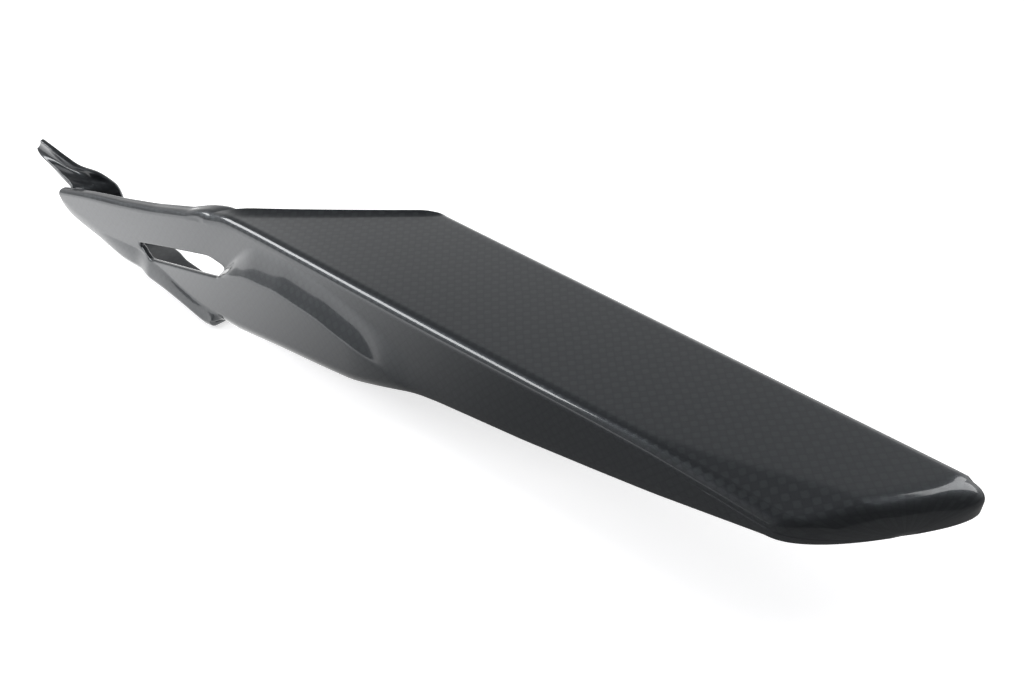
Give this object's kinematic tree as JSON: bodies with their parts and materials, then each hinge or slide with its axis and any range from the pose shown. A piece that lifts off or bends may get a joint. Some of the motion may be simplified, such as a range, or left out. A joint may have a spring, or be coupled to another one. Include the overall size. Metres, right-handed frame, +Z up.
{
  "type": "motorcycle chain guard",
  "caption": "One-piece laminate chain guard: level cover plate, tapering side wall with a low pod, slotted front arm with a return flange and a curled front tongue.",
  "frame": {"origin": "centre of the rear fixing hole, in the middle of the inner flange's laminate", "axes": "+X along the guard to its rear nose, +Y to the wheel side, +Z up and square to the cover plate; the outer face looks to -Y"},
  "size_m": [0.3144, 0.0603, 0.0474],
  "materials": {
    "laminate": "plain-weave carbon-fibre laminate under a satin-gloss clear coat"
  },
  "bodies": {
    "root": {"chain_guard": "laminate"}
  },
  "joints": []
}
